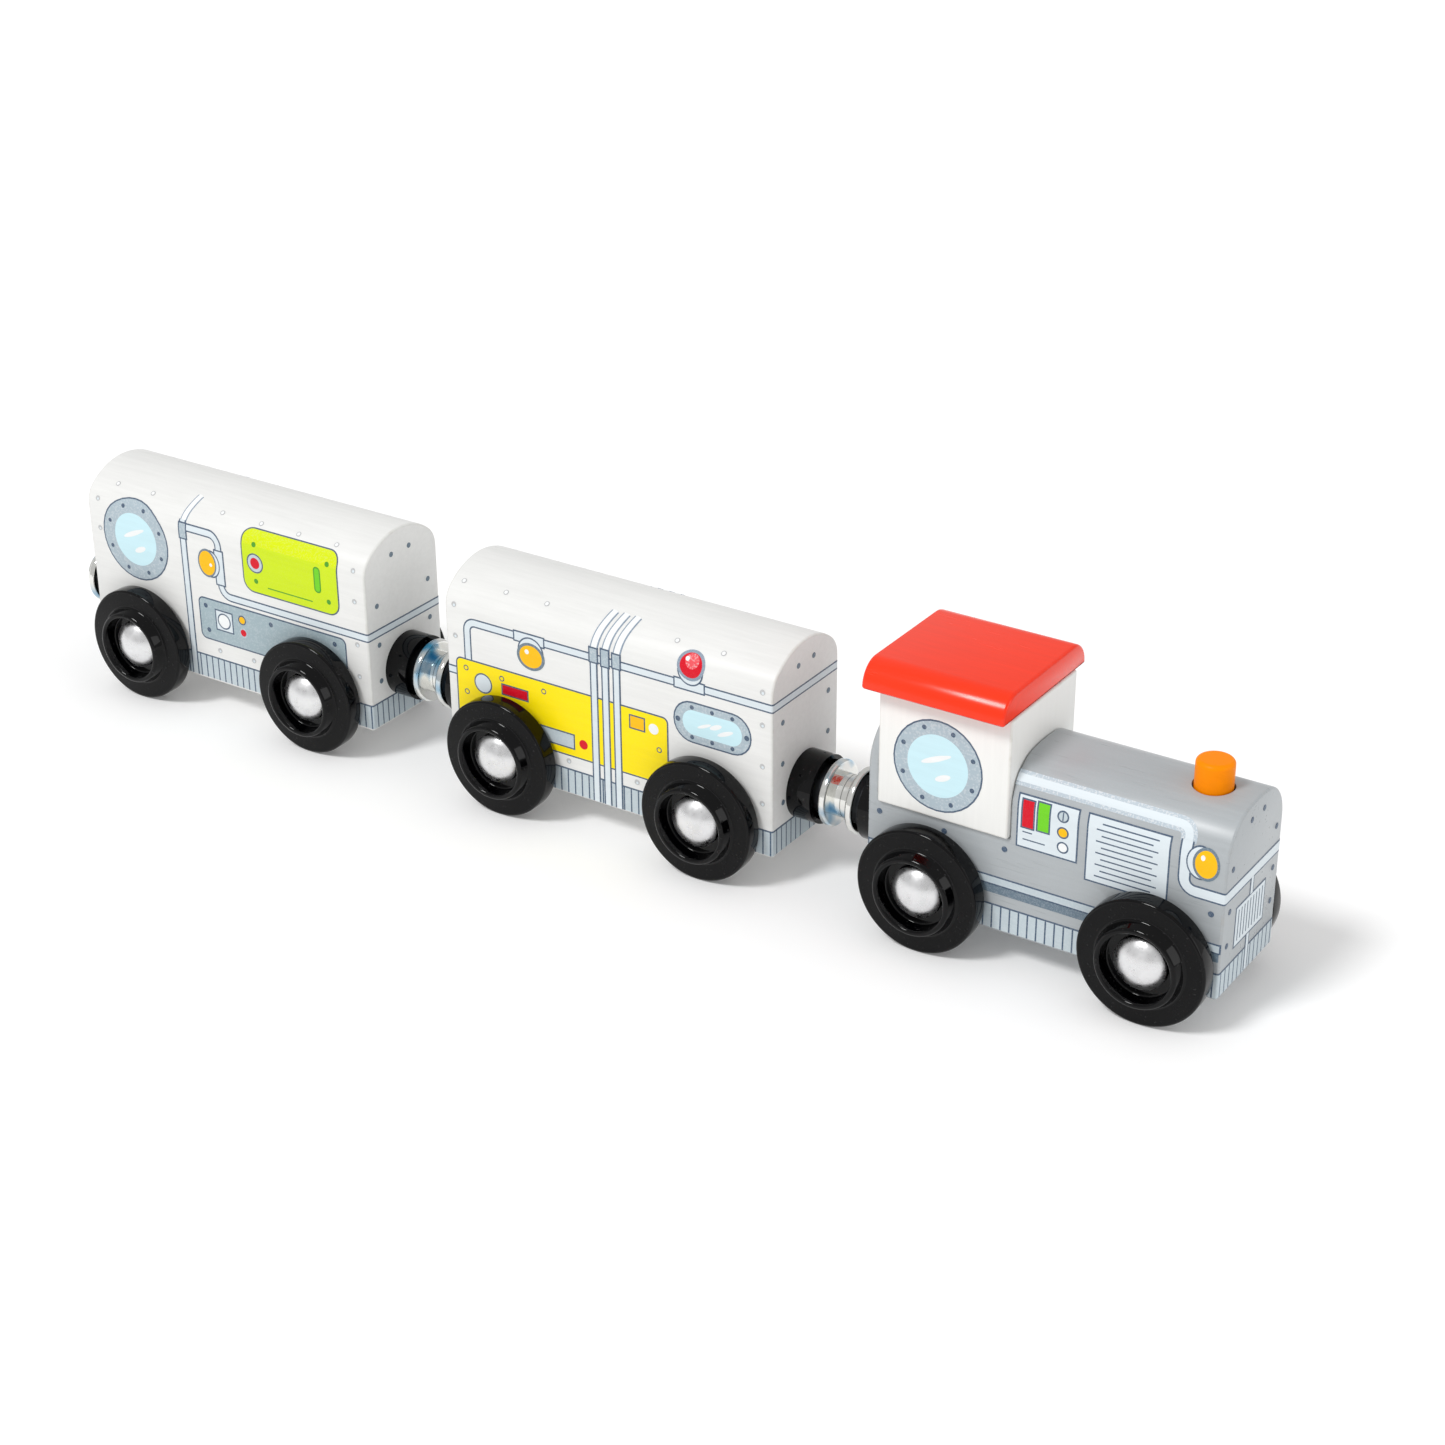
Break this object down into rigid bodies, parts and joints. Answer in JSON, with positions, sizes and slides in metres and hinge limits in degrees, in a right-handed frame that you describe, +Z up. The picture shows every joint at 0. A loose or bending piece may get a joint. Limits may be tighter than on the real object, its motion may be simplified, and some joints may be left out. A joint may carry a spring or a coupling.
{
  "type": "wooden train set",
  "caption": "Wooden toy train with a cab engine and round-topped wagons on free wheels, joined by swivelling magnetic couplings.",
  "frame": {"origin": "on the floor, under the middle of the train's bounding box", "axes": "+X forward along the train towards the engine's front, +Y to its left, +Z up"},
  "size_m": [0.2452, 0.033, 0.049],
  "materials": {
    "white_paint": "satin white paint over wood with fine printed lines",
    "grey_paint": "thin satin grey paint, faint wood grain",
    "red_paint": "satin red paint",
    "orange_paint": "satin orange paint",
    "black_plastic": "black moulded plastic, satin faces and gloss collar",
    "bright_cap": "bright plated dome",
    "axle_steel": "plain steel",
    "ferrite": "dark ferrite",
    "zinc_plate": "bright bluish zinc plating"
  },
  "bodies": {
    "engine": {"engine_body": "grey_paint", "cab": "white_paint", "cab_roof": "red_paint", "beacon": "orange_paint", "engine_front_axle": "axle_steel", "engine_front_axle_caps": "bright_cap", "engine_rear_axle": "axle_steel", "engine_rear_axle_caps": "bright_cap", "engine_rear_cup": "black_plastic", "engine_rear_screw": "axle_steel"},
    "middle_wagon": {"middle_wagon_body": "white_paint", "middle_front_axle": "axle_steel", "middle_front_axle_caps": "bright_cap", "middle_rear_axle": "axle_steel", "middle_rear_axle_caps": "bright_cap", "middle_front_cup": "black_plastic", "middle_front_screw": "axle_steel", "middle_rear_cup": "black_plastic", "middle_rear_screw": "axle_steel"},
    "tail_wagon": {"tail_wagon_body": "white_paint", "tail_front_axle": "axle_steel", "tail_front_axle_caps": "bright_cap", "tail_rear_axle": "axle_steel", "tail_rear_axle_caps": "bright_cap", "tail_front_cup": "black_plastic", "tail_front_screw": "axle_steel", "tail_rear_cup": "black_plastic", "tail_rear_screw": "axle_steel"},
    "engine_rear_pole_unit": {"engine_rear_magnet": "ferrite", "engine_rear_pole": "zinc_plate"},
    "middle_front_pole_unit": {"middle_front_magnet": "ferrite", "middle_front_pole": "zinc_plate"},
    "middle_rear_pole_unit": {"middle_rear_magnet": "ferrite", "middle_rear_pole": "zinc_plate"},
    "tail_front_pole_unit": {"tail_front_magnet": "ferrite", "tail_front_pole": "zinc_plate"},
    "tail_rear_pole_unit": {"tail_rear_magnet": "ferrite", "tail_rear_pole": "zinc_plate"},
    "engine_wheel_front_left": {"engine_wheel_front_left": "black_plastic"},
    "engine_wheel_front_right": {"engine_wheel_front_right": "black_plastic"},
    "engine_wheel_rear_left": {"engine_wheel_rear_left": "black_plastic"},
    "engine_wheel_rear_right": {"engine_wheel_rear_right": "black_plastic"},
    "middle_wheel_front_left": {"middle_wheel_front_left": "black_plastic"},
    "middle_wheel_front_right": {"middle_wheel_front_right": "black_plastic"},
    "middle_wheel_rear_left": {"middle_wheel_rear_left": "black_plastic"},
    "middle_wheel_rear_right": {"middle_wheel_rear_right": "black_plastic"},
    "tail_wheel_front_left": {"tail_wheel_front_left": "black_plastic"},
    "tail_wheel_front_right": {"tail_wheel_front_right": "black_plastic"},
    "tail_wheel_rear_left": {"tail_wheel_rear_left": "black_plastic"},
    "tail_wheel_rear_right": {"tail_wheel_rear_right": "black_plastic"}
  },
  "joints": [
    {"name": "engine_rear_swivel", "type": "hinge", "parent": "engine", "child": "engine_rear_pole_unit", "pos_m": [0.05178, 0, 0.016], "axis": [0, 0, 1], "range_deg": [-10, 10]},
    {"name": "middle_uncouple", "type": "slide", "parent": "engine_rear_pole_unit", "child": "middle_front_pole_unit", "axis": [-1, 0, 0], "range_m": [0, 0.03]},
    {"name": "middle_front_swivel", "type": "hinge", "parent": "middle_front_pole_unit", "child": "middle_wagon", "pos_m": [0.04938, 0, 0.016], "axis": [0, 0, 1], "range_deg": [-10, 10]},
    {"name": "middle_rear_swivel", "type": "hinge", "parent": "middle_wagon", "child": "middle_rear_pole_unit", "pos_m": [-0.03483, 0, 0.016], "axis": [0, 0, 1], "range_deg": [-10, 10]},
    {"name": "tail_uncouple", "type": "slide", "parent": "middle_rear_pole_unit", "child": "tail_front_pole_unit", "axis": [-1, 0, 0], "range_m": [0, 0.03]},
    {"name": "tail_front_swivel", "type": "hinge", "parent": "tail_front_pole_unit", "child": "tail_wagon", "pos_m": [-0.03723, 0, 0.016], "axis": [0, 0, 1], "range_deg": [-10, 10]},
    {"name": "tail_rear_swivel", "type": "hinge", "parent": "tail_wagon", "child": "tail_rear_pole_unit", "pos_m": [-0.12143, 0, 0.016], "axis": [0, 0, 1], "range_deg": [-10, 10]},
    {"name": "engine_wheel_front_left_roll", "type": "hinge", "parent": "engine", "child": "engine_wheel_front_left", "pos_m": [0.11107, 0, 0.011], "axis": [0, 1, 0], "continuous": true},
    {"name": "engine_wheel_front_right_roll", "type": "hinge", "parent": "engine", "child": "engine_wheel_front_right", "pos_m": [0.11107, 0, 0.011], "axis": [0, 1, 0], "continuous": true},
    {"name": "engine_wheel_rear_left_roll", "type": "hinge", "parent": "engine", "child": "engine_wheel_rear_left", "pos_m": [0.07128, 0, 0.011], "axis": [0, 1, 0], "continuous": true},
    {"name": "engine_wheel_rear_right_roll", "type": "hinge", "parent": "engine", "child": "engine_wheel_rear_right", "pos_m": [0.07128, 0, 0.011], "axis": [0, 1, 0], "continuous": true},
    {"name": "middle_wheel_front_left_roll", "type": "hinge", "parent": "middle_wagon", "child": "middle_wheel_front_left", "pos_m": [0.02838, 0, 0.011], "axis": [0, 1, 0], "continuous": true},
    {"name": "middle_wheel_front_right_roll", "type": "hinge", "parent": "middle_wagon", "child": "middle_wheel_front_right", "pos_m": [0.02838, 0, 0.011], "axis": [0, 1, 0], "continuous": true},
    {"name": "middle_wheel_rear_left_roll", "type": "hinge", "parent": "middle_wagon", "child": "middle_wheel_rear_left", "pos_m": [-0.01383, 0, 0.011], "axis": [0, 1, 0], "continuous": true},
    {"name": "middle_wheel_rear_right_roll", "type": "hinge", "parent": "middle_wagon", "child": "middle_wheel_rear_right", "pos_m": [-0.01383, 0, 0.011], "axis": [0, 1, 0], "continuous": true},
    {"name": "tail_wheel_front_left_roll", "type": "hinge", "parent": "tail_wagon", "child": "tail_wheel_front_left", "pos_m": [-0.05822, 0, 0.011], "axis": [0, 1, 0], "continuous": true},
    {"name": "tail_wheel_front_right_roll", "type": "hinge", "parent": "tail_wagon", "child": "tail_wheel_front_right", "pos_m": [-0.05822, 0, 0.011], "axis": [0, 1, 0], "continuous": true},
    {"name": "tail_wheel_rear_left_roll", "type": "hinge", "parent": "tail_wagon", "child": "tail_wheel_rear_left", "pos_m": [-0.10043, 0, 0.011], "axis": [0, 1, 0], "continuous": true},
    {"name": "tail_wheel_rear_right_roll", "type": "hinge", "parent": "tail_wagon", "child": "tail_wheel_rear_right", "pos_m": [-0.10043, 0, 0.011], "axis": [0, 1, 0], "continuous": true}
  ]
}
